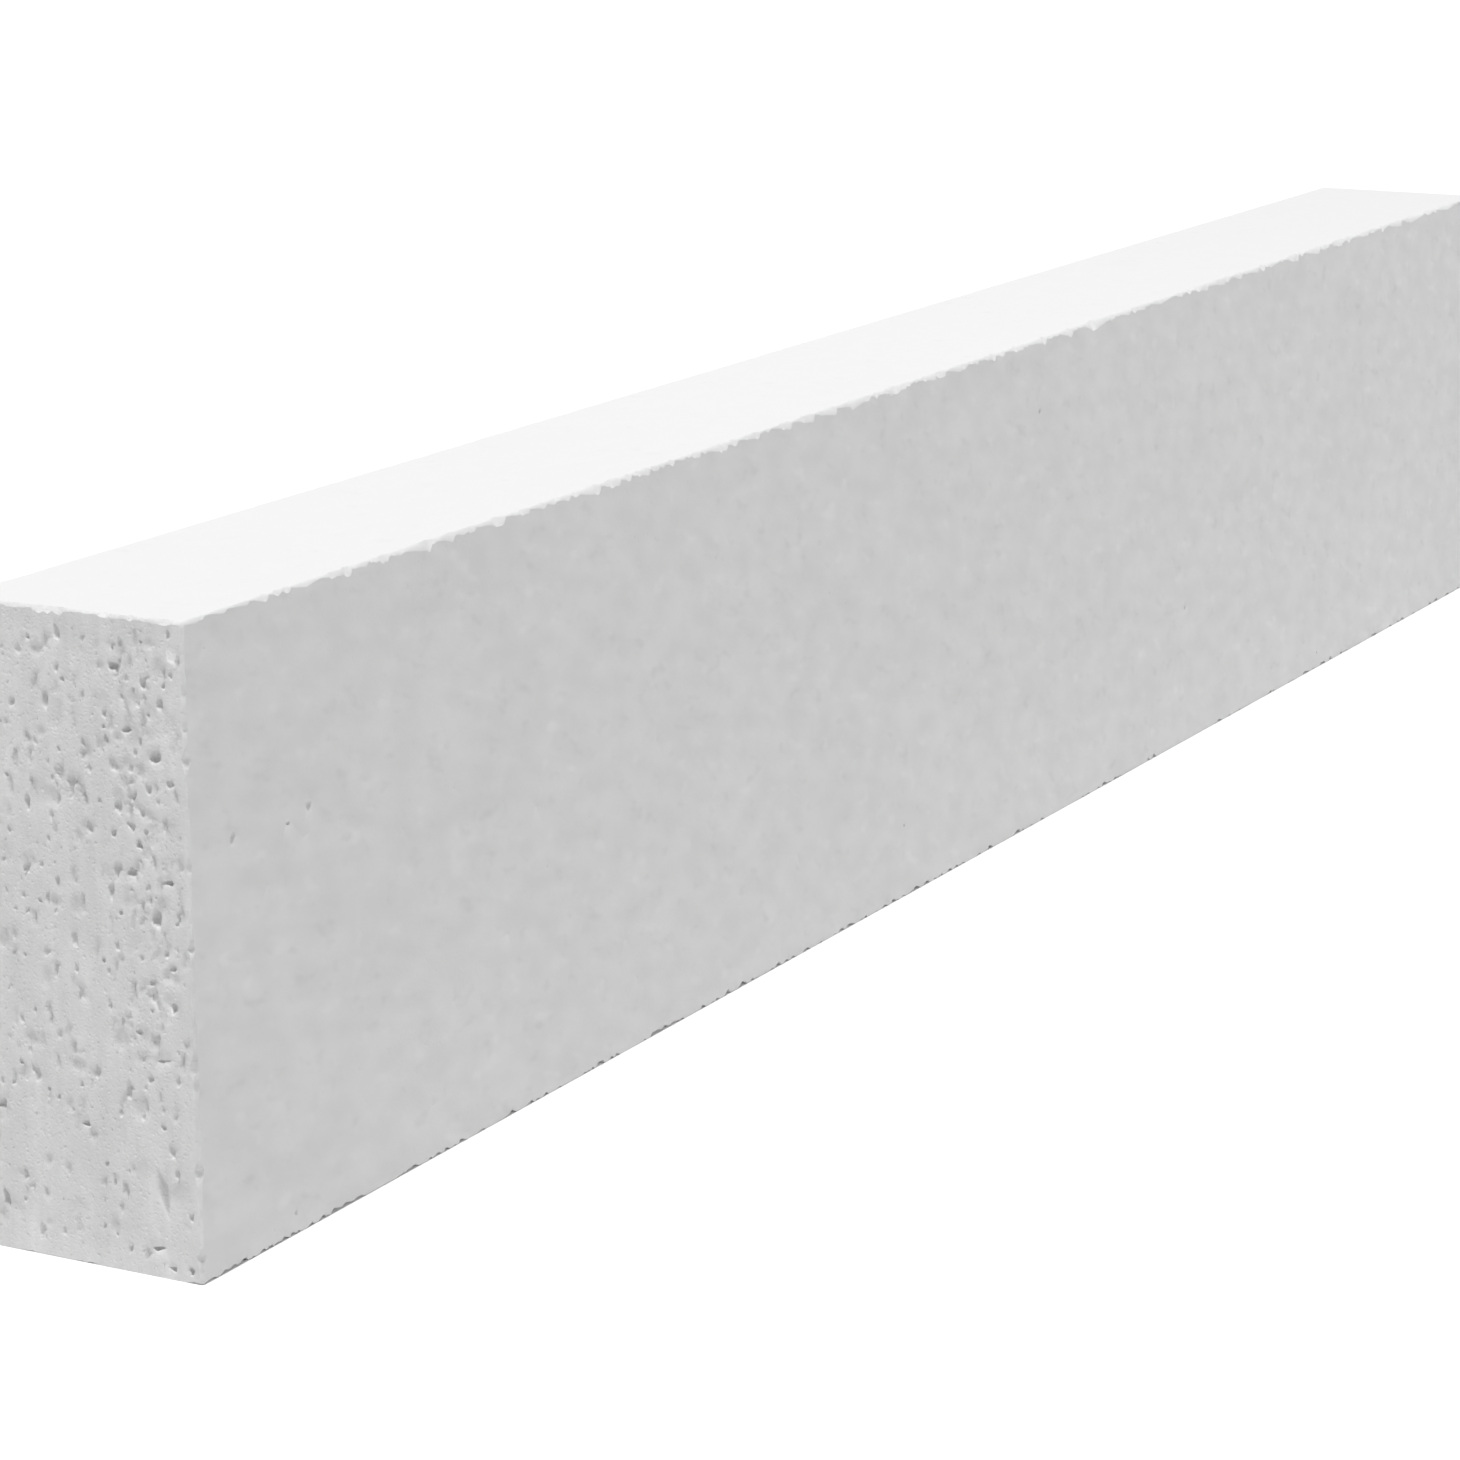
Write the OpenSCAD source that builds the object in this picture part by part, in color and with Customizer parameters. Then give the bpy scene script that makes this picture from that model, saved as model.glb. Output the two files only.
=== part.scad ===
// Aerated concrete lintel: one plain reinforced bar of autoclaved aerated concrete that lies over a
// door or window opening in a thin wall and carries the courses above it.
// X runs along the length, Y across the wall and Z up. The origin is the centre of the underside.

/* [Lintel] */
// Length from end to end: the opening plus a bearing at each side
lintel_length = 1400; // [1000:50:3000]
// Width across the wall, the same as the blocks that it is laid with
lintel_width = 100; // [50:5:400]
// Height: one 250 mm course less its thin bed joint
lintel_height = 249; // [124:1:499]

/* [Arrises] */
// Width that is worn off each long arris, along both faces that meet there
long_arris = 1; // [0.5:0.5:5]
// Width that is worn off the arrises round each sawn end, along both faces that meet there
end_arris = 1.5; // [0.5:0.5:5]

/* [Hidden] */
// Pale grey of dry aerated concrete
aerated_grey = [0.8, 0.8, 0.8];

// Rectangle centred on the origin, with each corner cut off at 45 degrees
module cut_corner_rectangle(size_x, size_y, cut) {
    far_x = size_x / 2;
    far_y = size_y / 2;
    near_x = far_x - cut;
    near_y = far_y - cut;
    polygon([
        [far_x, -near_y],
        [far_x, near_y],
        [near_x, far_y],
        [-near_x, far_y],
        [-far_x, near_y],
        [-far_x, -near_y],
        [-near_x, -far_y],
        [near_x, -far_y]
    ]);
}

// Cross-section, swept along the length: it carries the four long arrises
module cross_section_bar() {
    rotate([90, 0, 90])
        linear_extrude(height = lintel_length, center = true)
            cut_corner_rectangle(lintel_width, lintel_height, long_arris);
}

// Side elevation, swept across the wall: it carries the top and bottom arrises of the two ends
module side_elevation_bar() {
    rotate([90, 0, 0])
        linear_extrude(height = lintel_width, center = true)
            cut_corner_rectangle(lintel_length, lintel_height, end_arris);
}

// Plan, swept up the height: it carries the upright arrises of the two ends
module plan_bar() {
    linear_extrude(height = lintel_height, center = true)
        cut_corner_rectangle(lintel_length, lintel_width, end_arris);
}

// The lintel, standing on its underside as it is laid
module lintel() {
    color(aerated_grey)
        translate([0, 0, lintel_height / 2])
            intersection() {
                cross_section_bar();
                side_elevation_bar();
                plan_bar();
            }
}

lintel();
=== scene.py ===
"""Looks of the aerated concrete lintel: one closed mesh with open pores and worn arrises, in matt grey."""

import math
import random
from collections import namedtuple

import bmesh
import bpy
import numpy as np
from mathutils import Matrix, Vector, noise
from mathutils.geometry import delaunay_2d_cdt


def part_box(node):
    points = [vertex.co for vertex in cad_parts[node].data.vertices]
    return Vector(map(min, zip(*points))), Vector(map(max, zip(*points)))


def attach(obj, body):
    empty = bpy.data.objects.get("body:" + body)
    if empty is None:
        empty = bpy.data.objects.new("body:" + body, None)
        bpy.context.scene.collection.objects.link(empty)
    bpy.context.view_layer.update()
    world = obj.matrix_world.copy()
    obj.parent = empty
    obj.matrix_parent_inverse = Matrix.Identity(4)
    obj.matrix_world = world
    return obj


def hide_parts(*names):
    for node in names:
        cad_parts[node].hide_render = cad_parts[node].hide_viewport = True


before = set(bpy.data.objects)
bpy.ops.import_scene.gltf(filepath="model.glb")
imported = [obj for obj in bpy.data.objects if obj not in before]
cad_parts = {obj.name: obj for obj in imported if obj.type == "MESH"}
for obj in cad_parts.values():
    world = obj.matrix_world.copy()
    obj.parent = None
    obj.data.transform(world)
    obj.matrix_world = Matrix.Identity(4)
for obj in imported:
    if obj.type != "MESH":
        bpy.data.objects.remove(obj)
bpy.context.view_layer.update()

NODE = "lintel"
BODY = "root"
MM = 0.001

low, high = (np.array(corner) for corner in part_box(NODE))
centre = (low + high) / 2
half_size = (high - low) / 2


# -----------------------------------------------------------------------------
# Sides of the bar
# -----------------------------------------------------------------------------

class Side:
    """One flat side: its outward normal, and the directions u and v along it, with u x v = normal."""

    def __init__(self, name, normal, along_u, along_v):
        self.name = name
        self.normal, self.u, self.v = (np.array(d, float) for d in (normal, along_u, along_v))
        self.size_u = 2 * abs(self.u) @ half_size
        self.size_v = 2 * abs(self.v) @ half_size
        self.origin = centre + half_size * (self.normal - self.u - self.v)

    def place(self, uv, depth=0.0):
        """Points in the row frame for points on the side, sunk below it by depth."""
        uv = np.asarray(uv, float).reshape(-1, 2)
        depth = np.broadcast_to(depth, len(uv))
        return self.origin + uv[:, :1] * self.u + uv[:, 1:] * self.v - depth[:, None] * self.normal

    def flat(self, points):
        """The u and v of points in the row frame."""
        away = np.asarray(points) - self.origin
        return np.column_stack([away @ self.u, away @ self.v])


SIDES = [
    Side("near_end", (-1, 0, 0), (0, -1, 0), (0, 0, 1)),
    Side("far_end", (1, 0, 0), (0, 1, 0), (0, 0, 1)),
    Side("front", (0, -1, 0), (1, 0, 0), (0, 0, 1)),
    Side("back", (0, 1, 0), (-1, 0, 0), (0, 0, 1)),
    Side("top", (0, 0, 1), (1, 0, 0), (0, 1, 0)),
    Side("underside", (0, 0, -1), (-1, 0, 0), (0, 1, 0)),
]
ENDS = ("near_end", "far_end")


def side_facing(direction):
    """The side whose outward normal is that direction."""
    return next(side for side in SIDES if np.allclose(side.normal, direction))


# -----------------------------------------------------------------------------
# Worn arrises: a crumbly strip along each of the twelve edges, and a patch at each corner
# -----------------------------------------------------------------------------

CORNER_WEAR = 1.3 * MM      # what every corner has lost along its three arrises
CORNER_BLEND = 7 * MM       # over which an arris takes on its corner's wear
LEAST_WEAR = 0.15 * MM
ROUND_SHARE = 0.3           # how deep a round arris lies, as a share of its wear
CORNER_SHARE = 0.42         # the same at a corner
WAVES = (7.5 * MM, 16 * MM, 34 * MM, 80 * MM)   # lengths of the unevenness along an arris
FLAKE_LENGTH = (4 * MM, 26 * MM)
FLAKES_ONE_WAY = 0.8        # share of the flakes that get deeper towards +X, +Y or +Z
LEAST_FLAKE = 0.5           # the shallowest flake, as a share of the deepest of its length
TOP_SHARE = 0.45            # how much of a flake's width the top loses
FLAT_BREAK = 0.5            # how deep a flat break lies, as a share of the width it takes; a nick scooped deeper gets painted shade
NICK_LEAN = (0.28, 0.72)    # the first side's share of a nick
NICK_SKEW = 0.8             # how much deeper one end of a nick is at most, as a share of its depth
BITE_SKEW = 2               # how much the small nicks outnumber the large
LEAST_WAY = 0.08            # nearer the near end than this share of the way, wear and nicks lie no thicker
ARRIS_JITTER = 0.3          # of the points along an arris, as a share of the step between them
ARRIS_SEED = 40
WAVES_APART = 5             # keeps the waves from reading the same noise
SIDES_APART = (0.5, 0.7)    # the same for an arris's two sides

# step: between points along the arris. wear: usual width worn off. undercut: how much wider the wear is on
# the second of the two sides, which is the underside where one of them is. rough: how far each wave takes it.
# flake: the deepest flake. nicks: how many in a metre of it. bite: how deep a nick is. length: of half a
# nick, as shares of its bite. bunch: how the wear and the nicks gather towards the near end, where 1 is
# evenly. hollow: how far the middle of a nick is scooped out, as a share of the width it takes, which past
# FLAT_BREAK also sets how much painted shade the middle gets.
ArrisKind = namedtuple("ArrisKind", "step wear undercut rough flake nicks bite length bunch hollow")
FRONT_TOP_ARRIS = ArrisKind(
    step=1.6 * MM, wear=0.6 * MM, undercut=1.0, rough=0.4 * MM, flake=4.0 * MM, nicks=120,
    bite=(0.2 * MM, 0.9 * MM), length=(1.5, 3.2), bunch=1.0, hollow=0.5)
BACK_TOP_ARRIS = FRONT_TOP_ARRIS._replace(
    rough=0.2 * MM, flake=1.2 * MM, nicks=50, bite=(0.2 * MM, 0.8 * MM))
BOTTOM_ARRIS = ArrisKind(
    step=1.1 * MM, wear=0.2 * MM, undercut=3.2, rough=0.1 * MM, flake=0.0, nicks=195,
    bite=(0.5 * MM, 1.6 * MM), length=(1.2, 2.7), bunch=1.7, hollow=0.95)
END_FOOT_ARRIS = ArrisKind(
    step=1.9 * MM, wear=0.25 * MM, undercut=1.0, rough=0.2 * MM, flake=0.0, nicks=60,
    bite=(0.25 * MM, 1.1 * MM), length=(1.5, 3.0), bunch=1.0, hollow=0.6)
END_ARRIS = ArrisKind(
    step=1.9 * MM, wear=0.8 * MM, undercut=1.0, rough=0.5 * MM, flake=1.3 * MM, nicks=100,
    bite=(0.3 * MM, 1.4 * MM), length=(1.0, 2.4), bunch=1.0, hollow=0.55)

# at: its middle, along the arris. reach: half its length. lean: the first side's share of it. skew: which end
# of it is deeper.
Nick = namedtuple("Nick", "at reach bite lean skew")
# sides: each side's row of points, by its name. along: the arris's direction. deep: how much painted
# shade each point of the middle row gets, by how far it lies in a scooped nick.
Arris = namedtuple("Arris", "sides along middle deep")


def skewed(rng, span, power):
    """A random value in a span, nearer its low end the higher the power."""
    return span[0] + (span[1] - span[0]) * rng.random() ** power


def arris_kind(side_a, side_b):
    """An end's arrises crumble, and the top one at the front does most. The bottom ones keep their line, with
    small nicks in it that are dark from their own shadow and from painted shade."""
    names = {side_a.name, side_b.name}
    at_end = bool(names & set(ENDS))
    if "underside" in names:
        return END_FOOT_ARRIS if at_end else BOTTOM_ARRIS
    if at_end:
        return END_ARRIS
    return FRONT_TOP_ARRIS if "front" in names else BACK_TOP_ARRIS


def random_nicks(rng, kind, length, onward):
    """Small bites out of an arris, most of them much smaller than the largest. onward: it runs towards +X, +Y
    or +Z."""
    nicks = []
    for _ in range(round(kind.nicks * length)):
        bite = skewed(rng, kind.bite, BITE_SKEW)
        reach = bite * rng.uniform(*kind.length)
        share = rng.random() ** kind.bunch
        at = length * (share if onward else 1 - share)
        nicks.append(Nick(at, reach, bite, rng.uniform(*NICK_LEAN), rng.uniform(-NICK_SKEW, NICK_SKEW)))
    return nicks


def flake_wear(rng, t, kind, length, onward):
    """Width lost to flakes that broke off one after another: each gets deeper one way and ends in a step."""
    wear = np.zeros(len(t))
    start = 0.0
    while start < length:
        reach = math.exp(rng.uniform(*map(math.log, FLAKE_LENGTH)))
        deepest = kind.flake * math.sqrt(reach / FLAKE_LENGTH[1]) * rng.uniform(LEAST_FLAKE, 1)
        place = (t - start) / reach
        rising = onward == (rng.random() < FLAKES_ONE_WAY)
        on_it = (place >= 0) & (place < 1)
        wear[on_it] = deepest * (place[on_it] if rising else 1 - place[on_it])
        start += reach
    return wear


def gathered(share, bunch):
    """How thick the wear and the nicks lie at each share of the way, where 1 is the average."""
    return np.maximum(share, LEAST_WAY) ** (1 / bunch - 1) / bunch


def wear_along(t, kind, thick, nicks, row, share):
    """Width worn off one side of an arris at distances t along it. row: of the noise that it reads. share:
    how much of a nick it takes, for the nick's lean."""
    wear = kind.wear * thick
    for number, wave in enumerate(WAVES):
        places = [Vector((distance / wave, row, WAVES_APART * number)) for distance in t]
        wear += [kind.rough * noise.noise(place) for place in places]
    wear = np.maximum(wear, LEAST_WEAR)
    bitten = np.zeros(len(t))
    for nick in nicks:
        place = np.clip((t - nick.at) / nick.reach, -1, 1)
        bite = nick.bite * np.sqrt(1 - place ** 2) * (1 + nick.skew * place) * share(nick.lean)
        bitten = np.maximum(bitten, bite)
    return wear + bitten


def flake_share(side):
    """How much of a flake's width a side loses."""
    return TOP_SHARE if side.name == "top" else 1.0


def nick_depth(t, nicks):
    """How far into a nick each distance t lies, from 0 outside to 1 in the middle."""
    deep = np.zeros(len(t))
    for nick in nicks:
        deep = np.maximum(deep, np.clip(1 - ((t - nick.at) / nick.reach) ** 2, 0, 1))
    return deep


def make_arris(side_a, side_b, seed):
    """Points along an arris: one row on each side that meets there, and one in the middle between them."""
    along = np.cross(side_a.normal, side_b.normal)
    length = 2 * abs(along) @ half_size
    start = centre + half_size * (side_a.normal + side_b.normal - along)
    rng = random.Random(seed)
    kind = arris_kind(side_a, side_b)
    onward = bool(along.sum() > 0)
    nicks = random_nicks(rng, kind, length, onward)

    steps = round((length - 2 * CORNER_WEAR) / kind.step)
    t = np.linspace(CORNER_WEAR, length - CORNER_WEAR, steps + 1)
    jitter = np.array([rng.uniform(-ARRIS_JITTER, ARRIS_JITTER) for _ in t]) * kind.step
    t[1:-1] += jitter[1:-1]

    from_corner = np.minimum(t, length - t) - CORNER_WEAR
    own = np.clip(from_corner / CORNER_BLEND, 0, 1)
    own = own * own * (3 - 2 * own)
    flakes = flake_wear(rng, t, kind, length, onward)
    thick = gathered((t if onward else length - t) / length, kind.bunch)
    row_of_a, row_of_b = (seed + apart for apart in SIDES_APART)
    wear_a = wear_along(t, kind, thick, nicks, row_of_a, lambda lean: 2 * lean)
    wear_b = wear_along(t, kind, thick, nicks, row_of_b, lambda lean: 2 * (1 - lean))
    wear_a += flakes * flake_share(side_a)
    wear_b += flakes * flake_share(side_b)
    wear_b *= kind.undercut
    wear_a = CORNER_WEAR + (wear_a - CORNER_WEAR) * own
    wear_b = CORNER_WEAR + (wear_b - CORNER_WEAR) * own
    deep = nick_depth(t, nicks) * own
    inset = ROUND_SHARE + (kind.hollow - ROUND_SHARE) * deep

    line = start + t[:, None] * along
    row_a = line - wear_a[:, None] * side_b.normal
    row_b = line - wear_b[:, None] * side_a.normal
    middle = line - (inset * wear_a)[:, None] * side_b.normal - (inset * wear_b)[:, None] * side_a.normal
    # Painted shade for the middle of each nick: the more it is scooped out, the darker.
    painted_nick_shade = deep * (kind.hollow - FLAT_BREAK) / (1 - FLAT_BREAK)
    return Arris({side_a.name: row_a, side_b.name: row_b}, along, middle, painted_nick_shade)


def make_arrises():
    """All twelve arrises, by the names of the two sides that meet there."""
    arrises = {}
    for i, side_a in enumerate(SIDES):
        for side_b in SIDES[i + 1:]:
            if side_a.normal @ side_b.normal == 0:
                key = frozenset((side_a.name, side_b.name))
                arrises[key] = make_arris(side_a, side_b, seed=ARRIS_SEED + len(arrises))
    return arrises


# -----------------------------------------------------------------------------
# Pores
# -----------------------------------------------------------------------------

# amount: how many in an AREA, where crowding lets them. radius: smallest and largest. depth and stretch: as
# shares of the radius. tailed: what share of them runs out to a tail. corners: of the rim. rings: of the bowl
# below it.
AREA = 0.01                 # of a side, in square metres
PoreKind = namedtuple("PoreKind", "amount radius depth stretch tailed corners rings")
END_PORES = [
    PoreKind(16, (1.0 * MM, 1.6 * MM), (0.4, 1.0), (1.1, 2.1), 0.35, 16, 4),
    PoreKind(34, (0.7 * MM, 1.0 * MM), (0.4, 1.0), (1.1, 2.2), 0.2, 12, 3),
    PoreKind(110, (0.3 * MM, 0.6 * MM), (0.4, 0.9), (1.0, 1.8), 0.0, 6, 1),
]
FACE_PORES = [
    PoreKind(0.2, (0.7 * MM, 1.1 * MM), (0.3, 0.6), (0.7, 1.2), 0.2, 12, 3),
    PoreKind(3, (0.25 * MM, 0.5 * MM), (0.4, 0.8), (0.7, 1.2), 0.0, 6, 1),
]
COLLAR = 1.35               # how far the rounded rim of a pore reaches, as a share of the opening
APRON = 1.3                 # how far round the rim the sheet has points of its own, as a share of the rim
COLLAR_DROP = 0.13          # how far the opening lies below the collar, as a share of its radius, at most
LIP_PAINTED_SHADE = 0.15             # how much painted shade the opening gets, as a share of the bottom
LEAST_WALL = 0.2 * MM       # between two pores
BORDER_WALL = 1.2 * MM      # round each point of a side's outline
MARK_TURN = 0.07            # the spread of the marks' tilt off upright, in radians
MARK_INSET = 1.5 * MM       # between a mark and the edge of its side
SEARCH_CELL = 4 * MM
TRIES = 30                  # at finding room for a pore
PORE_SKEW = 1.6             # how much the small pores of a kind outnumber the large
MARK_SKEW = 1.5             # the same for marks
RIM_JITTER = 0.15           # of a rim's corners, as a share of the step between them
RIM_LUMP = 0.09             # how far each of three lumps goes in or out, as a share of the radius
TAIL_LENGTH = 0.8           # as a share of the radius
TAIL_WIDTH = 0.45           # in radians
PORE_LEAN = 0.25            # the most that a deepest point is off the middle, as a share of the depth

# How thick the hollows lie on an end, as shares: everywhere, and more in a band inside the front face.
THICK_ALL = 0.38
THICK_BAND = 0.75
BAND_PLACE = 17 * MM        # of its middle, from the front face
BAND_REACH = 15 * MM
BAND_FOOT = 0.30            # up the side, as a share of its height
BAND_RISE = 0.15            # over which it begins, as such a share
CALM_FOOT = 0.5             # how thick they lie at the foot, as a share of what they do from halfway up
PATCHES = (22 * MM, 30 * MM)    # how large the thicker and thinner patches are, across and up
PATCH_LAYER = 4             # of the noise
THIN_PATCH = 0.5            # how thick they lie in the thinnest patch, as a share

# The pores that stand out, in millimetres. across: from the front face, or from the near end on the front
# face. up: from the underside. width and height: of the opening. deep: as a share of half the width.
# dust: how far painted shade darkens the inside, where less than 0 paints a light patch instead.
Spot = namedtuple("Spot", "across up width height deep dust", defaults=(1.0,))
SPOTS = {
    "near_end": [
        Spot(31, 230, 4.0, 3.5, 1.1), Spot(18, 225, 2.5, 4.5, 1.1), Spot(11, 218, 3.0, 4.5, 0.9),
        Spot(55, 240, 2.5, 6.5, 0.9), Spot(26, 207, 3.5, 3.0, 1.0), Spot(14, 198, 4.5, 5.0, 1.1),
        Spot(17, 186, 2.5, 4.5, 0.9), Spot(51, 185, 4.0, 6.0, 0.6), Spot(71, 175, 2.5, 6.0, 1.1),
        Spot(22, 165, 2.5, 4.0, 1.2), Spot(32, 155, 3.0, 5.5, 1.0), Spot(26, 154, 3.5, 3.5, 1.1),
        Spot(9, 152, 3.0, 2.5, 1.2), Spot(35, 146, 2.5, 5.0, 1.0), Spot(15, 138, 3.5, 6.5, 1.2),
        Spot(9, 120, 3.0, 3.0, 1.1), Spot(9, 105, 3.0, 4.5, 1.2), Spot(15, 84, 3.6, 1.4, 0.5),
        Spot(88, 57, 3.5, 4.0, 0.9), Spot(50, 55, 3.0, 3.0, 0.9), Spot(88, 19, 3.0, 5.5, 1.1),
        # The long streak low down, at 2.2, gets strong painted shade in place of its own shading.
        Spot(16.6, 33, 4.4, 16.0, 0.3, 2.2), Spot(9.9, 41, 2.2, 4.4, 0.8), Spot(4.4, 25.6, 2.0, 3.2, 0.9),
        Spot(20, 11, 3.8, 2.0, 0.9), Spot(32, 9, 2.0, 3.6, 0.8), Spot(12.7, 4.2, 2.6, 2.0, 1.1),
        Spot(4.8, 4.8, 2.4, 3.0, 1.2), Spot(6.4, 243.7, 1.4, 4.0, 1.0),
        # A painted highlight: a lighter patch in a shallow dip below the top arris, standing in for a lit
        # spall.
        Spot(5.1, 236.6, 4.4, 5.8, 0.04, -1.3),
    ],
    "front": [Spot(28, 164, 3.2, 3.8, 0.35), Spot(78, 164, 3.2, 3.8, 0.35)],
}
SPOT_TAILED = 0.4           # as of a PoreKind
SPOT_TURN = 0.1             # the spread of their tilt off upright, in radians
PORE_TURN = 0.16            # the same for the other pores
SPOT_CORNERS = 16
SPOT_RINGS = 4

# u, v: of its middle. rim: its points about that. radius: of the rim. depth: of the deepest point below it.
# lean: how far that point is off the middle, as shares of the depth. dust: as of a Spot.
Pore = namedtuple("Pore", "u v rim radius depth rings lean dust")

# Marks are shallow hollows in the sheet itself. across: half width. upright: half height as a share of that.
MarkKind = namedtuple("MarkKind", "amount across upright depth")
END_MARKS = [
    MarkKind(42, (1.8 * MM, 4.6 * MM), (0.8, 1.7), (0.30 * MM, 0.80 * MM)),
    MarkKind(74, (0.8 * MM, 1.4 * MM), (1.8, 5.5), (0.45 * MM, 1.20 * MM)),
]
FACE_MARKS = [
    MarkKind(12, (1.8 * MM, 4.8 * MM), (0.7, 1.4), (0.06 * MM, 0.22 * MM)),
]
Mark = namedtuple("Mark", "u v across upright turn depth")


class Crowd:
    """Remembers the circles already taken on a side, so that pores stay apart."""

    def __init__(self):
        self.cells = {}
        self.largest = 0.0      # radius of the largest circle

    def cell(self, u, v):
        return int(u // SEARCH_CELL), int(v // SEARCH_CELL)

    def free(self, u, v, reach, wall):
        cell_u, cell_v = self.cell(u, v)
        span = int((reach + wall + self.largest) // SEARCH_CELL) + 1
        for i in range(cell_u - span, cell_u + span + 1):
            for j in range(cell_v - span, cell_v + span + 1):
                for other_u, other_v, other_reach in self.cells.get((i, j), ()):
                    if math.hypot(u - other_u, v - other_v) < reach + other_reach + wall:
                        return False
        return True

    def take(self, u, v, reach):
        self.largest = max(self.largest, reach)
        self.cells.setdefault(self.cell(u, v), []).append((u, v, reach))


def crowding_on_end(side, u, v):
    """How thick the hollows lie on an end, from 0 to 1: most in a band by the front face, least low down."""
    y = side.place([(u, v)])[0][1] - low[1]
    z = v / side.size_v
    band = math.exp(-((y - BAND_PLACE) / BAND_REACH) ** 2) * min(1, max(0, (z - BAND_FOOT) / BAND_RISE))
    calm_below = min(1, CALM_FOOT + z)
    patches = 0.5 + 0.5 * noise.noise(Vector((y / PATCHES[0], v / PATCHES[1], PATCH_LAYER)))
    return min(1, (THICK_ALL + THICK_BAND * band) * calm_below * (THIN_PATCH + patches))


def inside_outline(point, outline):
    """True if a point lies inside a closed outline: a line from it then crosses an odd number of edges."""
    following = np.roll(outline, -1, axis=0)
    across = (outline[:, 1] > point[1]) != (following[:, 1] > point[1])
    (u1, v1), (u2, v2) = outline[across].T, following[across].T
    crossing = u1 + (point[1] - v1) * (u2 - u1) / (v2 - v1)
    return np.count_nonzero(crossing > point[0]) % 2 == 1


def even(*_):
    """The crowding of a face on which hollows lie alike all over."""
    return 1


def pore_rim(rng, radius, stretch, tailed, corners, tilt):
    """The rim's points about its middle: a lumpy oval, mostly upright, and sometimes with a tail."""
    turn = rng.gauss(0, tilt)
    phases = [rng.uniform(0, math.tau) for _ in range(3)]
    tail = rng.uniform(0, math.tau) if rng.random() < tailed else None
    angles = [(i + rng.uniform(-RIM_JITTER, RIM_JITTER)) * math.tau / corners for i in range(corners)]
    rim = []
    for angle in angles:
        lumps = sum(RIM_LUMP * math.cos((k + 2) * angle + phase) for k, phase in enumerate(phases))
        out = radius * (1 + lumps)
        if tail is not None:
            off = (angle - tail + math.pi) % math.tau - math.pi
            out *= 1 + TAIL_LENGTH * math.exp(-(off / TAIL_WIDTH) ** 2)
        across, upright = out * math.cos(angle), out * math.sin(angle) * stretch
        rim.append((across * math.cos(turn) - upright * math.sin(turn),
                    across * math.sin(turn) + upright * math.cos(turn)))
    return np.array(rim)


def random_lean(rng):
    """How far a pore's deepest point lies off its middle, as shares of its depth."""
    return np.array([rng.uniform(-PORE_LEAN, PORE_LEAN), rng.uniform(-PORE_LEAN, PORE_LEAN)])


def chosen_pores(rng, side):
    """The pores of a side that stand out, at their own places."""
    pores = []
    for spot in SPOTS.get(side.name, []):
        place = low + MM * np.array([spot.across, spot.across, spot.up])
        u, v = side.flat([place])[0]
        radius = spot.width / 2 * MM
        tailed = SPOT_TAILED if spot.dust > 0 else 0
        rim = pore_rim(rng, radius, spot.height / spot.width, tailed, SPOT_CORNERS, SPOT_TURN)
        pores.append(Pore(u, v, rim, radius, spot.deep * radius, SPOT_RINGS, random_lean(rng), spot.dust))
    return pores


def scatter_pores(side, kinds, crowding, border, seed):
    """Pores on a side, the largest first, none touching another or the arrises."""
    rng = random.Random(seed)
    crowd = Crowd()
    for u, v in border:
        crowd.take(u, v, BORDER_WALL)
    pores = chosen_pores(rng, side)
    for pore in pores:
        crowd.take(pore.u, pore.v, np.hypot(*pore.rim.T).max() * COLLAR)
    for kind in kinds:
        wanted = round(kind.amount * side.size_u * side.size_v / AREA)
        for _ in range(wanted):
            radius = skewed(rng, kind.radius, PORE_SKEW)
            rim = pore_rim(rng, radius, rng.uniform(*kind.stretch), kind.tailed, kind.corners, PORE_TURN)
            reach = np.hypot(*rim.T).max() * COLLAR
            for _ in range(TRIES):
                u = rng.uniform(reach, side.size_u - reach)
                v = rng.uniform(reach, side.size_v - reach)
                thick = rng.random() < crowding(side, u, v)
                if thick and crowd.free(u, v, reach, LEAST_WALL) and inside_outline((u, v), border):
                    crowd.take(u, v, reach)
                    depth = radius * rng.uniform(*kind.depth)
                    pores.append(Pore(u, v, rim, radius, depth, kind.rings, random_lean(rng), dust=1.0))
                    break
    return pores, crowd


def scatter_marks(side, kinds, crowding, seed):
    """Shallow hollows on a side. They may run into each other and lie under pores."""
    rng = random.Random(seed)
    marks = []
    for kind in kinds:
        wanted = round(kind.amount * side.size_u * side.size_v / AREA)
        for _ in range(wanted):
            across = skewed(rng, kind.across, MARK_SKEW)
            upright = across * rng.uniform(*kind.upright)
            depth = skewed(rng, kind.depth, MARK_SKEW)
            for _ in range(TRIES):
                u = rng.uniform(MARK_INSET + across, side.size_u - MARK_INSET - across)
                v = rng.uniform(MARK_INSET + upright, side.size_v - MARK_INSET - upright)
                if rng.random() < crowding(side, u, v):
                    marks.append(Mark(u, v, across, upright, rng.gauss(0, MARK_TURN), depth))
                    break
    return marks


# -----------------------------------------------------------------------------
# The sheet of each side, between its arrises and round its pores
# -----------------------------------------------------------------------------

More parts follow.
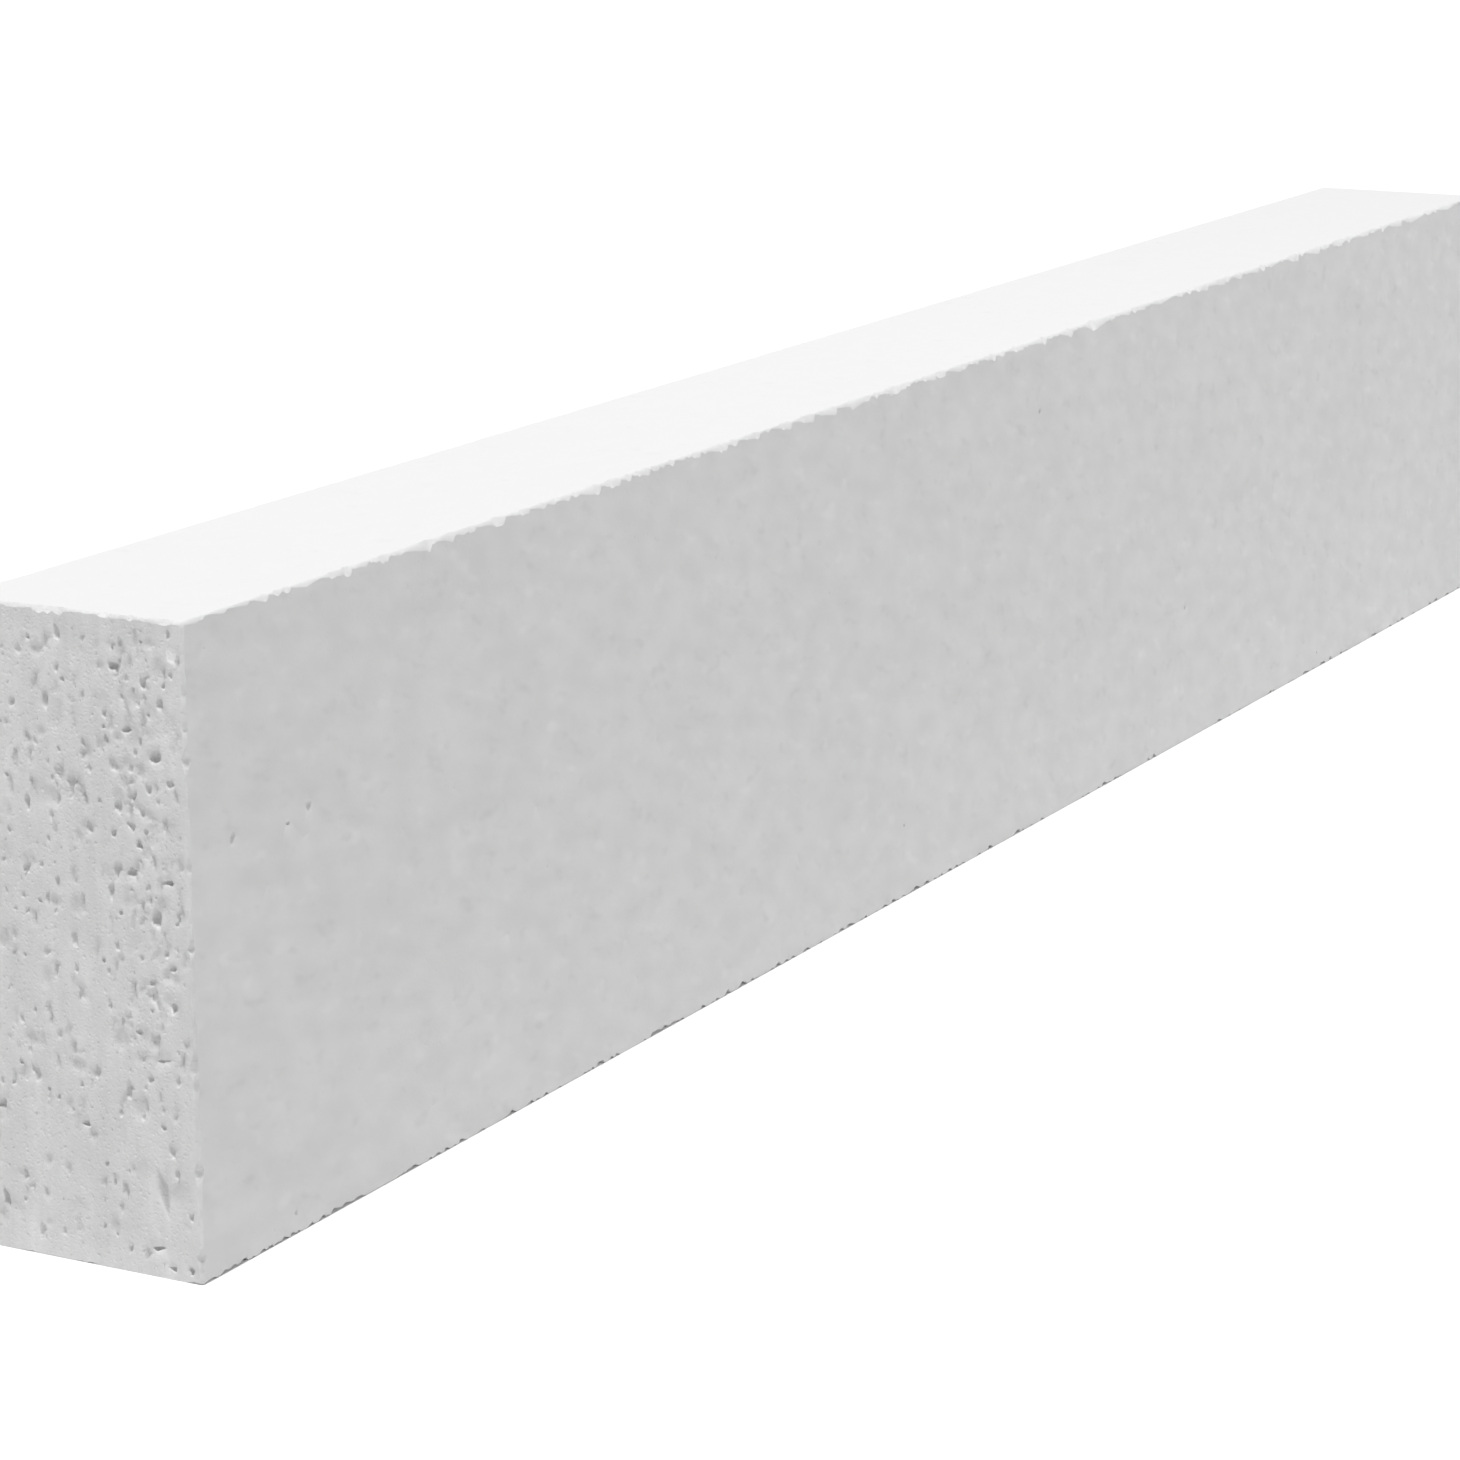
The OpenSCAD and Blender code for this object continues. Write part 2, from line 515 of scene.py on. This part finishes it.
# spacing: of the loose grid of points. hollow, wavelength: of the sheet's slight unevenness. warp: how far
# the marks' outlines wander. grit: how far single points lie in or out. mark_step: between the points that
# shape a mark.
SheetKind = namedtuple("SheetKind", "spacing hollow wavelength warp grit mark_step")
END_SHEET = SheetKind(1.5 * MM, 0.40 * MM, 15 * MM, 0.8 * MM, 0.05 * MM, 1.0 * MM)
FACE_SHEET = SheetKind(9 * MM, 0.14 * MM, 60 * MM, 1.0 * MM, 0.0, 2.2 * MM)
WARP_WAVE = 5 * MM
MARK_WALL = 0.6             # how much of a mark's half width slopes, the rest being its floor
DEEP_MARK = 1.0 * MM        # a mark this deep gets as much painted shade as the bottom of a pore
MARK_RINGS = (0.5, 1.0)     # of points that shape a mark, as shares of its size
MARK_LEAST_POINTS = 6       # round a ring
MARK_JITTER = 0.2           # of a ring's points, as a share of the step between them
GRID_JITTER = 0.3           # the same for the loose grid
SPARE_REACH = 0.4           # the room round a spare point, as a share of mark_step
SHEET_FADE = 8 * MM         # over which a sheet comes level with its arrises
SHEET_LEVEL = 0.2           # the share of that, at the arris, which is level throughout
UNEVEN_LAYER = (3, 7)       # of the noise, for the first side, and the step to the next side's
WARP_LAYER = (2, 5)         # the same for the warp
WARP_SEED = 1795366381      # without one, Blender seeds noise_vector from the clock
CDT_UNIT = 1000             # the triangulation works in millimetres
CDT_TOLERANCE = 1e-5
CDT_WITHIN = 1              # keeps the triangles within the outlines only


def border_of(side, arrises):
    """The side's outline in order, as points in the row frame: the rows of its four arrises."""
    rows = []
    for neighbour, onward in ((-side.v, side.u), (side.u, side.v), (side.v, -side.u), (-side.u, -side.v)):
        arris = arrises[frozenset((side.name, side_facing(neighbour).name))]
        row = arris.sides[side.name]
        if arris.along @ onward < 0:
            row = row[::-1]
        rows.append(row[:-1])
    return np.vstack(rows)


def spare_points(side, kind, pores, marks, crowd, border, seed):
    """Points between the pores: rings round their rims and rings that shape the marks, then a loose grid."""
    rng = random.Random(seed)
    wanted = []
    for pore in pores:
        wanted += map(tuple, pore.rim * COLLAR * APRON + (pore.u, pore.v))
    for mark in marks:
        wanted.append((mark.u, mark.v))
        for ring in MARK_RINGS:
            around = math.pi * ring * (mark.across + mark.upright)
            count = max(MARK_LEAST_POINTS, round(around / kind.mark_step))
            for i in range(count):
                angle = (i + rng.uniform(-MARK_JITTER, MARK_JITTER)) * math.tau / count
                a, b = ring * mark.across * math.cos(angle), ring * mark.upright * math.sin(angle)
                wanted.append((mark.u + a * math.cos(mark.turn) - b * math.sin(mark.turn),
                               mark.v + a * math.sin(mark.turn) + b * math.cos(mark.turn)))
    count_u, count_v = int(side.size_u / kind.spacing), int(side.size_v / kind.spacing)
    for i in range(count_u):
        for j in range(count_v):
            wanted.append(((i + 0.5 + rng.uniform(-GRID_JITTER, GRID_JITTER)) * side.size_u / count_u,
                           (j + 0.5 + rng.uniform(-GRID_JITTER, GRID_JITTER)) * side.size_v / count_v))
    points = []
    for u, v in wanted:
        if crowd.free(u, v, 0, LEAST_WALL) and inside_outline((u, v), border):
            crowd.take(u, v, kind.mark_step * SPARE_REACH)
            points.append((u, v))
    return np.array(points).reshape(-1, 2)


def sheet_depth(side, kind, marks, uv):
    """How far a side's points are sunk, by its slight unevenness and its marks, and how much painted shade
    each gets, the more the deeper it lies in a mark. The unevenness fades out at the arrises."""
    number = SIDES.index(side)
    uneven_layer, warp_layer = (first + step * number for first, step in (UNEVEN_LAYER, WARP_LAYER))
    uneven = np.empty(len(uv))
    warped = np.array(uv)
    for i, (u, v) in enumerate(uv):
        spot = Vector((u / kind.wavelength, v / kind.wavelength, uneven_layer))
        uneven[i] = kind.hollow * (0.5 + 0.5 * noise.noise(spot))
        push = noise.noise_vector(Vector((u / WARP_WAVE, v / WARP_WAVE, warp_layer)))
        warped[i] += kind.warp * np.array(push[:2])
        uneven[i] += kind.grit * (1 + push[2])
    sunk = np.zeros(len(uv))
    for mark in marks:
        away = warped - (mark.u, mark.v)
        a = (away[:, 0] * math.cos(mark.turn) + away[:, 1] * math.sin(mark.turn)) / mark.across
        b = (away[:, 1] * math.cos(mark.turn) - away[:, 0] * math.sin(mark.turn)) / mark.upright
        inside = np.clip((1 - np.hypot(a, b)) / MARK_WALL, 0, 1)
        sunk = np.maximum(sunk, mark.depth * inside * inside * (3 - 2 * inside))
    from_edge = np.minimum(uv, (side.size_u, side.size_v) - uv).min(1)
    fade = np.clip(from_edge / SHEET_FADE - SHEET_LEVEL, 0, 1)
    # The second value is the painted shade in the marks.
    return uneven * fade + sunk, np.clip(sunk / DEEP_MARK, 0, 1)


def pore_outline(pore):
    """Where a pore's rounded rim meets the sheet."""
    return pore.rim * COLLAR + (pore.u, pore.v)


def fill_sheet(border, pores, spare):
    """The points of the outlines and the spare ones in turn, and the triangles between the outlines."""
    loops = [border, *(pore_outline(pore) for pore in pores)]
    points = np.vstack([*loops, spare]) if len(spare) else np.vstack(loops)
    owner = np.full(len(points), -1)
    edges = []
    first = 0
    for number, loop in enumerate(loops):
        owner[first:first + len(loop)] = number
        edges += [(first + i, first + (i + 1) % len(loop)) for i in range(len(loop))]
        first += len(loop)
    made = delaunay_2d_cdt([Vector(p) for p in points * CDT_UNIT], edges, [], CDT_WITHIN, CDT_TOLERANCE)
    faces, origins = made[2], made[3]
    if any(len(ids) != 1 for ids in origins):
        raise RuntimeError("two outlines on a side touch or cross")
    triangles = []
    for face in faces:
        ids = [origins[i][0] for i in face]
        ring = owner[ids[0]]
        in_one = ring > 0 and all(owner[i] == ring for i in ids)
        if not (in_one and inside_outline(points[ids].mean(0), loops[ring])):
            triangles.append(ids)
    return points, triangles


# -----------------------------------------------------------------------------
# Putting the shell together
# -----------------------------------------------------------------------------

SHEET, EDGE = range(2)              # what a face belongs to; an edge between the two is sharp
FACE_FINISH, BED_FINISH, END_FINISH = range(3)      # the material slots
SIDE_SEED = 101
WELD = 1e-6                         # points this near are one, in metres


class Shell:
    """Collects points and faces, with what each face belongs to and each point's painted shade in a hollow,
    or painted light where below 0.
    """

    def __init__(self):
        self.points, self.hollow, self.faces, self.parts, self.finish = [], [], [], [], []

    def add_points(self, points, hollow=0.0):
        first = len(self.points)
        self.points.extend(map(tuple, points))
        self.hollow.extend(np.broadcast_to(hollow, len(points)))
        return first

    def add_face(self, ids, part, finish):
        self.faces.append(tuple(ids))
        self.parts.append(part)
        self.finish.append(finish)


def finish_of(*names):
    """An end and the arrises round it are sawn, the front and back are faces, and the rest are beds."""
    if set(names) & set(ENDS):
        return END_FINISH
    return FACE_FINISH if set(names) & {"front", "back"} else BED_FINISH


def painted_shading_at(pore, down):
    """How much painted shade a pore gets at a share of the way down it. A painted light patch is light all
    over.
    """
    return pore.dust * (down if pore.dust > 0 else 1)


def add_bowl(shell, side, pore, outline_depth, finish):
    """The inside of a pore: its rounded rim, then rings that shrink and sink to its deepest point."""
    count = len(pore.rim)
    middle = np.array([pore.u, pore.v])
    lip = outline_depth + min(COLLAR_DROP * pore.radius, pore.depth)
    level = lip.mean()
    # Each ring's last value is its painted shade, or its painted light in a light patch.
    rings = [(pore.rim * COLLAR, outline_depth, 0.0), (pore.rim, lip, painted_shading_at(pore, LIP_PAINTED_SHADE))]
    for ring in range(1, pore.rings):
        angle = ring / pore.rings * math.pi / 2
        down = math.sin(angle)
        shape = pore.rim * math.cos(angle) + pore.lean * pore.depth * down
        rings.append((shape, level + pore.depth * down, painted_shading_at(pore, down)))
    firsts = [shell.add_points(side.place(middle + shape, depth), hollow) for shape, depth, hollow in rings]
    for outer, inner in zip(firsts, firsts[1:]):
        for i in range(count):
            j = (i + 1) % count
            shell.add_face((outer + i, outer + j, inner + j, inner + i), SHEET, finish)
    # The deepest point gets the pore's full painted shade.
    bottom = shell.add_points(side.place(middle + pore.lean * pore.depth, level + pore.depth), pore.dust)
    for i in range(count):
        shell.add_face((firsts[-1] + i, firsts[-1] + (i + 1) % count, bottom), SHEET, finish)


def add_side(shell, side, arrises, seed):
    """A side's sheet and its pores."""
    is_end = side.name in ENDS
    sheet = END_SHEET if is_end else FACE_SHEET
    pore_kinds = END_PORES if is_end else FACE_PORES
    mark_kinds = END_MARKS if is_end else FACE_MARKS
    crowding = crowding_on_end if is_end else even
    border = border_of(side, arrises)
    border_uv = side.flat(border)
    pores, crowd = scatter_pores(side, pore_kinds, crowding, border_uv, seed)
    marks = scatter_marks(side, mark_kinds, crowding, seed)
    spare = spare_points(side, sheet, pores, marks, crowd, border_uv, seed)
    uv, triangles = fill_sheet(border_uv, pores, spare)
    depth, hollow = sheet_depth(side, sheet, marks, uv)
    depth[:len(border)] = 0
    points = side.place(uv, depth)
    points[:len(border)] = border
    finish = finish_of(side.name)
    first = shell.add_points(points, hollow)
    for ids in triangles:
        shell.add_face([first + i for i in ids], SHEET, finish)
    start = len(border)
    for pore in pores:
        add_bowl(shell, side, pore, depth[start:start + len(pore.rim)], finish)
        start += len(pore.rim)


def add_arris(shell, names, arris):
    """The two strips of an arris, which meet in its middle row."""
    finish = finish_of(*names)
    row_a, row_b = (shell.add_points(row) for row in arris.sides.values())
    # The middle row carries the nicks' painted shade.
    middle = shell.add_points(arris.middle, np.clip(arris.deep, 0, 1))
    for i in range(len(arris.middle) - 1):
        shell.add_face((row_a + i, row_a + i + 1, middle + i + 1, middle + i), EDGE, finish)
        shell.add_face((middle + i, middle + i + 1, row_b + i + 1, row_b + i), EDGE, finish)


def add_corner(shell, sides, arrises):
    """The patch at a corner: a fan round its worn point, out to the ends of the three arrises."""
    corner = centre + half_size * sum(side.normal for side in sides)
    tip = corner - CORNER_SHARE * CORNER_WEAR * sum(side.normal for side in sides)
    ring = []
    for i, side in enumerate(sides):
        following = sides[(i + 1) % 3]
        arris = arrises[frozenset((side.name, following.name))]
        at_start = np.linalg.norm(arris.middle[0] - corner) < np.linalg.norm(arris.middle[-1] - corner)
        end = 0 if at_start else -1
        ring += [arris.sides[side.name][end], arris.middle[end]]
    first = shell.add_points(ring)
    peak = shell.add_points([tip])
    for i in range(len(ring)):
        shell.add_face((first + i, first + (i + 1) % len(ring), peak), EDGE, END_FINISH)


def make_shell():
    """Every side, arris and corner of the lintel."""
    noise.seed_set(WARP_SEED)
    shell = Shell()
    arrises = make_arrises()
    for number, side in enumerate(SIDES):
        add_side(shell, side, arrises, seed=SIDE_SEED + number)
    for names, arris in arrises.items():
        add_arris(shell, names, arris)
    for x in (-1, 1):
        for y in (-1, 1):
            for z in (-1, 1):
                add_corner(shell, [side_facing(d) for d in ((x, 0, 0), (0, y, 0), (0, 0, z))], arrises)
    return shell


def shell_to_mesh(shell, name):
    """One closed mesh: welds the shell's pieces, turns its faces outwards and marks its sharp edges."""
    mesh = bpy.data.meshes.new(name)
    mesh.from_pydata(shell.points, [], shell.faces)
    mesh.polygons.foreach_set("material_index", shell.finish)
    mesh.attributes.new("part", "INT", "FACE").data.foreach_set("value", shell.parts)
    # The hollow attribute carries each point's painted shade, and painted light where below 0.
    hollow = np.array(shell.hollow, np.float32)
    mesh.attributes.new("hollow", "FLOAT", "POINT").data.foreach_set("value", hollow)
    bm = bmesh.new()
    bm.from_mesh(mesh)
    bmesh.ops.remove_doubles(bm, verts=bm.verts, dist=WELD)
    bmesh.ops.triangulate(bm, faces=bm.faces)
    bmesh.ops.recalc_face_normals(bm, faces=bm.faces)
    part = bm.faces.layers.int["part"]
    for face in bm.faces:
        face.smooth = True
    for edge in bm.edges:
        if not edge.is_manifold:
            raise RuntimeError("the lintel's mesh isn't closed")
        first, second = edge.link_faces
        edge.smooth = first[part] == second[part]
    bm.to_mesh(mesh)
    bm.free()
    mesh.attributes.remove(mesh.attributes["part"])
    return mesh


# -----------------------------------------------------------------------------
# Materials
# -----------------------------------------------------------------------------

GREY = 0.70                 # of the dry concrete
HOLLOW_SHADE = 0.88         # how much of it is left under the painted shade deep in a pore
NOISE_SPAN = (0.3, 0.7)     # most of what a noise gives lies within this


class Nodes:
    """Shorthand for making and linking a material's nodes."""

    def __init__(self, material):
        material.use_nodes = True
        self.tree = material.node_tree
        self.tree.nodes.clear()

    def add(self, kind, inputs=None, **settings):
        node = self.tree.nodes.new(kind)
        for key, value in settings.items():
            setattr(node, key, value)
        for key, value in (inputs or {}).items():
            if isinstance(value, bpy.types.NodeSocket):
                self.tree.links.new(value, node.inputs[key])
            else:
                node.inputs[key].default_value = value
        return node

    def noise(self, where, scale, detail=2.0, roughness=0.5):
        """Cloudy noise, 0 to 1 about 0.5. scale is in blotches to the metre."""
        inputs = {"Vector": where, "Scale": scale, "Detail": detail, "Roughness": roughness}
        return self.add("ShaderNodeTexNoise", inputs).outputs["Fac"]

    def cells(self, where, scale):
        """Voronoi cells: the distance to the nearest cell point, and the cell's own random colour."""
        node = self.add("ShaderNodeTexVoronoi", {"Vector": where, "Scale": scale})
        return node.outputs["Distance"], node.outputs["Color"]

    def math(self, operation, *values, clamp=False):
        node = self.add("ShaderNodeMath", operation=operation, use_clamp=clamp)
        for socket, value in zip(node.inputs, values):
            if isinstance(value, bpy.types.NodeSocket):
                self.tree.links.new(value, socket)
            else:
                socket.default_value = value
        return node.outputs[0]

    def vector(self, operation, first, second):
        node = self.add("ShaderNodeVectorMath", {0: first, 1: second}, operation=operation)
        return node.outputs[0]

    def span(self, value, from_low, from_high, to_low, to_high, smooth=False):
        """Maps one range of a value to another, and holds it at the ends."""
        inputs = {"Value": value, "From Min": from_low, "From Max": from_high}
        inputs |= {"To Min": to_low, "To Max": to_high}
        kind = "SMOOTHSTEP" if smooth else "LINEAR"
        return self.add("ShaderNodeMapRange", inputs, interpolation_type=kind).outputs["Result"]

    def vary(self, value, change):
        """A factor about 1 that a noise takes down and up by that change."""
        return self.span(value, *NOISE_SPAN, 1 - change, 1 + change)

    def product(self, *factors):
        total = factors[0]
        for factor in factors[1:]:
            total = self.math("MULTIPLY", total, factor)
        return total


# slant: which way the blotches lie, turned from +X. stretch: what the place is then multiplied by along each
# axis, so that less than 1 draws the blotches out that way. mottle, grain: how much the grey changes over 10
# mm and over 1 mm. broken: how ragged the blotches are. relief: how far the grain and the pits too fine to
# model go in. pits: the share of places that has one. specks: how strong the dark and light flecks are.
# far_shade: how much darker it is at the far end, painted shade for the top light falling off there.
Finish = namedtuple("Finish", "slant stretch mottle broken grain relief pits specks far_shade")
FACE = Finish(
    slant=math.radians(-16), stretch=(0.52, 1, 1), mottle=0.032, broken=0.4, grain=0.004,
    relief=0.06 * MM, pits=0.45, specks=0.8, far_shade=0.0)
BED = Finish(
    slant=0.0, stretch=(0.85, 1, 1), mottle=0.004, broken=0.4, grain=0.006,
    relief=0.03 * MM, pits=0.30, specks=0.1, far_shade=0.04)
SAWN = Finish(
    slant=0.0, stretch=(1, 1, 0.3), mottle=0.048, broken=0.75, grain=0.020,
    relief=0.20 * MM, pits=0.85, specks=1.0, far_shade=0.0)

# The scales are in blotches to the metre.
CLOUD_SCALE = 30
CLOUD_SHARE = 0.35          # how strong the wide clouds are, as a share of the mottle
MOTTLE_SCALE = 95
GRAIN_SCALE = 700
GRAIN_BROKEN = 0.6
# least: the noise where a fleck begins. change: to the grey in its middle, for specks of 1.
Fleck = namedtuple("Fleck", "scale least change")
DARK_FLECK = Fleck(150, 0.60, -0.09)
LIGHT_FLECK = Fleck(125, 0.58, 0.07)
FLECK_SLOPE = 0.26          # how much further the noise rises to a fleck's middle
PIT_SCALE = 560
PIT_REACH = 0.62            # of the largest pit, as a share of a cell
PIT_SIZES = 0.4             # the smallest pit's reach, as a share of that
PIT_STRENGTHS = 0.3         # the shallowest pit, as a share of the deepest
PIT_WARP = 0.9 * MM         # how far the pits' outlines are pushed out of round
WARP_SCALE = 480.0
SAND_SCALE = 900
SAND_BROKEN = 0.65
ROUGHNESS = (0.90, 1.0)
ROUGHNESS_SCALE = 300
SPECULAR = 0.3


def fine_pits(nodes, where, share):
    """Round soft pits, 1 in their middle and 0 outside: in that share of cells, and of different sizes."""
    warp = {"Vector": where, "Scale": WARP_SCALE, "Detail": 1.0}
    push = nodes.vector("SUBTRACT", nodes.add("ShaderNodeTexNoise", warp).outputs["Color"], (0.5, 0.5, 0.5))
    push = nodes.vector("MULTIPLY", push, (PIT_WARP,) * 3)
    distance, cell = nodes.cells(nodes.vector("ADD", where, push), PIT_SCALE)
    draw = nodes.add("ShaderNodeSeparateColor", {"Color": cell}).outputs
    picked = nodes.math("LESS_THAN", draw["Red"], share)
    size = nodes.span(draw["Green"], 0.0, 1.0, PIT_SIZES * PIT_REACH, PIT_REACH)
    pit = nodes.math("SUBTRACT", 1.0, nodes.math("DIVIDE", distance, size, clamp=True))
    strength = nodes.span(draw["Blue"], 0.0, 1.0, PIT_STRENGTHS, 1.0)
    return nodes.product(nodes.span(pit, 0.0, 1.0, 0.0, 1.0, True), picked, strength)


def flecks(nodes, where, kind, specks):
    """A factor that is 1 but for ragged soft flecks, which show where a noise is above its least value."""
    level = nodes.noise(where, kind.scale, detail=1.0)
    fleck = nodes.span(level, kind.least, kind.least + FLECK_SLOPE, 0.0, 1.0, True)
    return nodes.span(fleck, 0.0, 1.0, 1.0, 1 + kind.change * specks)


def aerated_concrete(name, finish):
    """Matt pale grey with soft blotches, fine grain, dark and light flecks and pits too fine to model, with
    painted shade in the hollows and towards the far end, and painted light on one patch.
    """
    material = bpy.data.materials.new(name)
    nodes = Nodes(material)
    where = nodes.add("ShaderNodeTexCoord").outputs["Object"]
    slant = {"Vector": where, "Angle": finish.slant}
    turned = nodes.add("ShaderNodeVectorRotate", slant, rotation_type="Y_AXIS").outputs[0]
    drawn = nodes.vector("MULTIPLY", turned, finish.stretch)

    clouds = nodes.vary(nodes.noise(drawn, CLOUD_SCALE), finish.mottle * CLOUD_SHARE)
    mottle = nodes.vary(nodes.noise(drawn, MOTTLE_SCALE, roughness=finish.broken), finish.mottle)
    grain = nodes.vary(nodes.noise(where, GRAIN_SCALE, roughness=GRAIN_BROKEN), finish.grain)
    dark = flecks(nodes, drawn, DARK_FLECK, finish.specks)
    light = flecks(nodes, drawn, LIGHT_FLECK, finish.specks)

    # Painted shade from the hollow attribute: darker deep in pores, nicks and marks, lighter where it is
    # below 0.
    hollow = nodes.add("ShaderNodeAttribute", attribute_name="hollow").outputs["Fac"]
    painted_hollow_shade = nodes.math("SUBTRACT", 1.0, nodes.math("MULTIPLY", hollow, 1 - HOLLOW_SHADE))
    # Painted shade: darker towards the far end, for the top light falling off along the bar.
    along = nodes.add("ShaderNodeSeparateXYZ", {"Vector": where}).outputs["X"]
    far = nodes.span(along, 0.0, float(high[0]), 1.0, 1 - finish.far_shade)
    grey = nodes.product(GREY, clouds, mottle, grain, dark, light, painted_hollow_shade, far)
    colour = nodes.add("ShaderNodeCombineColor", {"Red": grey, "Green": grey, "Blue": grey}).outputs["Color"]

    sand = nodes.noise(where, SAND_SCALE, roughness=SAND_BROKEN)
    height = nodes.math("SUBTRACT", sand, fine_pits(nodes, where, finish.pits))
    bump = nodes.add("ShaderNodeBump", {"Strength": 1.0, "Distance": finish.relief, "Height": height})

    roughness = nodes.span(nodes.noise(where, ROUGHNESS_SCALE), *NOISE_SPAN, *ROUGHNESS)
    surface = nodes.add("ShaderNodeBsdfPrincipled", {
        "Base Color": colour,
        "Roughness": roughness,
        "Normal": bump.outputs["Normal"],
        "Specular IOR Level": SPECULAR,
    })
    nodes.add("ShaderNodeOutputMaterial", {"Surface": surface.outputs["BSDF"]})
    return material


# -----------------------------------------------------------------------------
# The lintel
# -----------------------------------------------------------------------------

def make_lintel():
    """The lintel as it looks, in place of the plain CAD bar."""
    mesh = shell_to_mesh(make_shell(), "aerated_concrete_bar")
    for name, finish in (("face", FACE), ("bed", BED), ("sawn", SAWN)):
        mesh.materials.append(aerated_concrete(f"aerated_concrete_{name}", finish))
    bar = bpy.data.objects.new("aerated_concrete_bar", mesh)
    bpy.context.scene.collection.objects.link(bar)
    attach(bar, BODY)
    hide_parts(NODE)
    return bar


# -----------------------------------------------------------------------------
# Floor, light and camera
# -----------------------------------------------------------------------------

FLOOR_SIZE = 80.0
FLOOR_GREY = 0.80
FLOOR_LIFT = 0.08           # brightens the floor for the camera only
SKY = 0.34                  # how bright the even light from all round is
TOP_LIGHT = 3.05            # the broad light from above, in watts to the square metre
TOP_SPREAD = math.radians(10)
TOP_LEAN = Vector((-0.160, -0.055, 0))    # off straight above, towards the near end and a little to the front
FILL_POWER = 6.8            # of the softbox on the front side, off the far end, in watts
FILL_SIZE = 1.0
FILL_PLACE = Vector((1.9, -2.4, 0.5))

CAMERA_FROM_CORNER = Vector((-1.269, -0.896, 0.585))    # from the near bottom corner of the front face
CAMERA_HEADING = math.radians(61.94)                    # from +Y towards +X
CAMERA_PITCH = math.radians(-13.70)
CAMERA_ROLL = math.radians(-0.17)
CAMERA_LENS = 110.0         # in millimetres, as is the sensor
SENSOR = 36.0


def seen_directly(nodes):
    """1 for what the camera sees straight or in a reflection, and 0 for light that falls on things."""
    rays = nodes.add("ShaderNodeLightPath").outputs
    seen = nodes.math("MAXIMUM", rays["Is Camera Ray"], rays["Is Glossy Ray"])
    return nodes.math("MAXIMUM", seen, rays["Is Transmission Ray"])


def make_floor():
    """A wide pale floor that keeps the lintel's shadow."""
    material = bpy.data.materials.new("pale_floor")
    nodes = Nodes(material)
    paint = nodes.add("ShaderNodeBsdfDiffuse", {"Color": (FLOOR_GREY, FLOOR_GREY, FLOOR_GREY, 1)})
    lift = nodes.math("MULTIPLY", seen_directly(nodes), FLOOR_LIFT)
    glow = nodes.add("ShaderNodeEmission", {"Strength": lift})
    both = nodes.add("ShaderNodeAddShader", {0: paint.outputs[0], 1: glow.outputs[0]})
    nodes.add("ShaderNodeOutputMaterial", {"Surface": both.outputs[0]})

    mesh = bpy.data.meshes.new("floor")
    reach = FLOOR_SIZE / 2
    corners = [(-reach, -reach, 0), (reach, -reach, 0), (reach, reach, 0), (-reach, reach, 0)]
    mesh.from_pydata(corners, [], [(0, 1, 2, 3)])
    mesh.materials.append(material)
    floor = bpy.data.objects.new("floor", mesh)
    bpy.context.scene.collection.objects.link(floor)
    floor.location.z = low[2]


def make_sky():
    """Even light from all round, which is white where the camera sees it."""
    world = bpy.data.worlds.new("studio")
    bpy.context.scene.world = world
    nodes = Nodes(world)
    strength = nodes.span(seen_directly(nodes), 0.0, 1.0, SKY, 1.0)
    background = nodes.add("ShaderNodeBackground", {"Color": (1, 1, 1, 1), "Strength": strength})
    nodes.add("ShaderNodeOutputWorld", {"Surface": background.outputs[0]})


def add_lamp(name, kind, energy, place, aim):
    """A lamp of that kind at a place, shining at a point."""
    light = bpy.data.lights.new(name, kind)
    light.energy = energy
    lamp = bpy.data.objects.new(name, light)
    lamp.location = place
    lamp.rotation_mode = "QUATERNION"
    lamp.rotation_quaternion = (aim - place).to_track_quat("-Z", "Y")
    bpy.context.scene.collection.objects.link(lamp)
    return light


def make_lamps():
    """Broad soft light from above, and a weak softbox that lifts the far part of the front."""
    middle = Vector(centre)
    above = middle + Vector((0, 0, 1)) + TOP_LEAN
    add_lamp("top_light", "SUN", TOP_LIGHT, above, middle).angle = TOP_SPREAD
    fill = add_lamp("fill", "AREA", FILL_POWER, FILL_PLACE, middle)
    fill.size = FILL_SIZE


def make_camera():
    """Looks along the bar from beyond its near end, a little above it."""
    data = bpy.data.cameras.new("camera")
    data.lens = CAMERA_LENS
    data.sensor_width = SENSOR
    camera = bpy.data.objects.new("camera", data)
    near_corner = Vector(low)
    turn = Matrix.Rotation(-CAMERA_HEADING, 4, "Z") @ Matrix.Rotation(math.pi / 2 + CAMERA_PITCH, 4, "X")
    turn = turn @ Matrix.Rotation(CAMERA_ROLL, 4, "Z")
    camera.matrix_world = Matrix.Translation(near_corner + CAMERA_FROM_CORNER) @ turn
    bpy.context.scene.collection.objects.link(camera)
    bpy.context.scene.camera = camera


make_camera()
make_lintel()
make_floor()
make_sky()
make_lamps()
bpy.context.scene.view_settings.view_transform = "Standard"
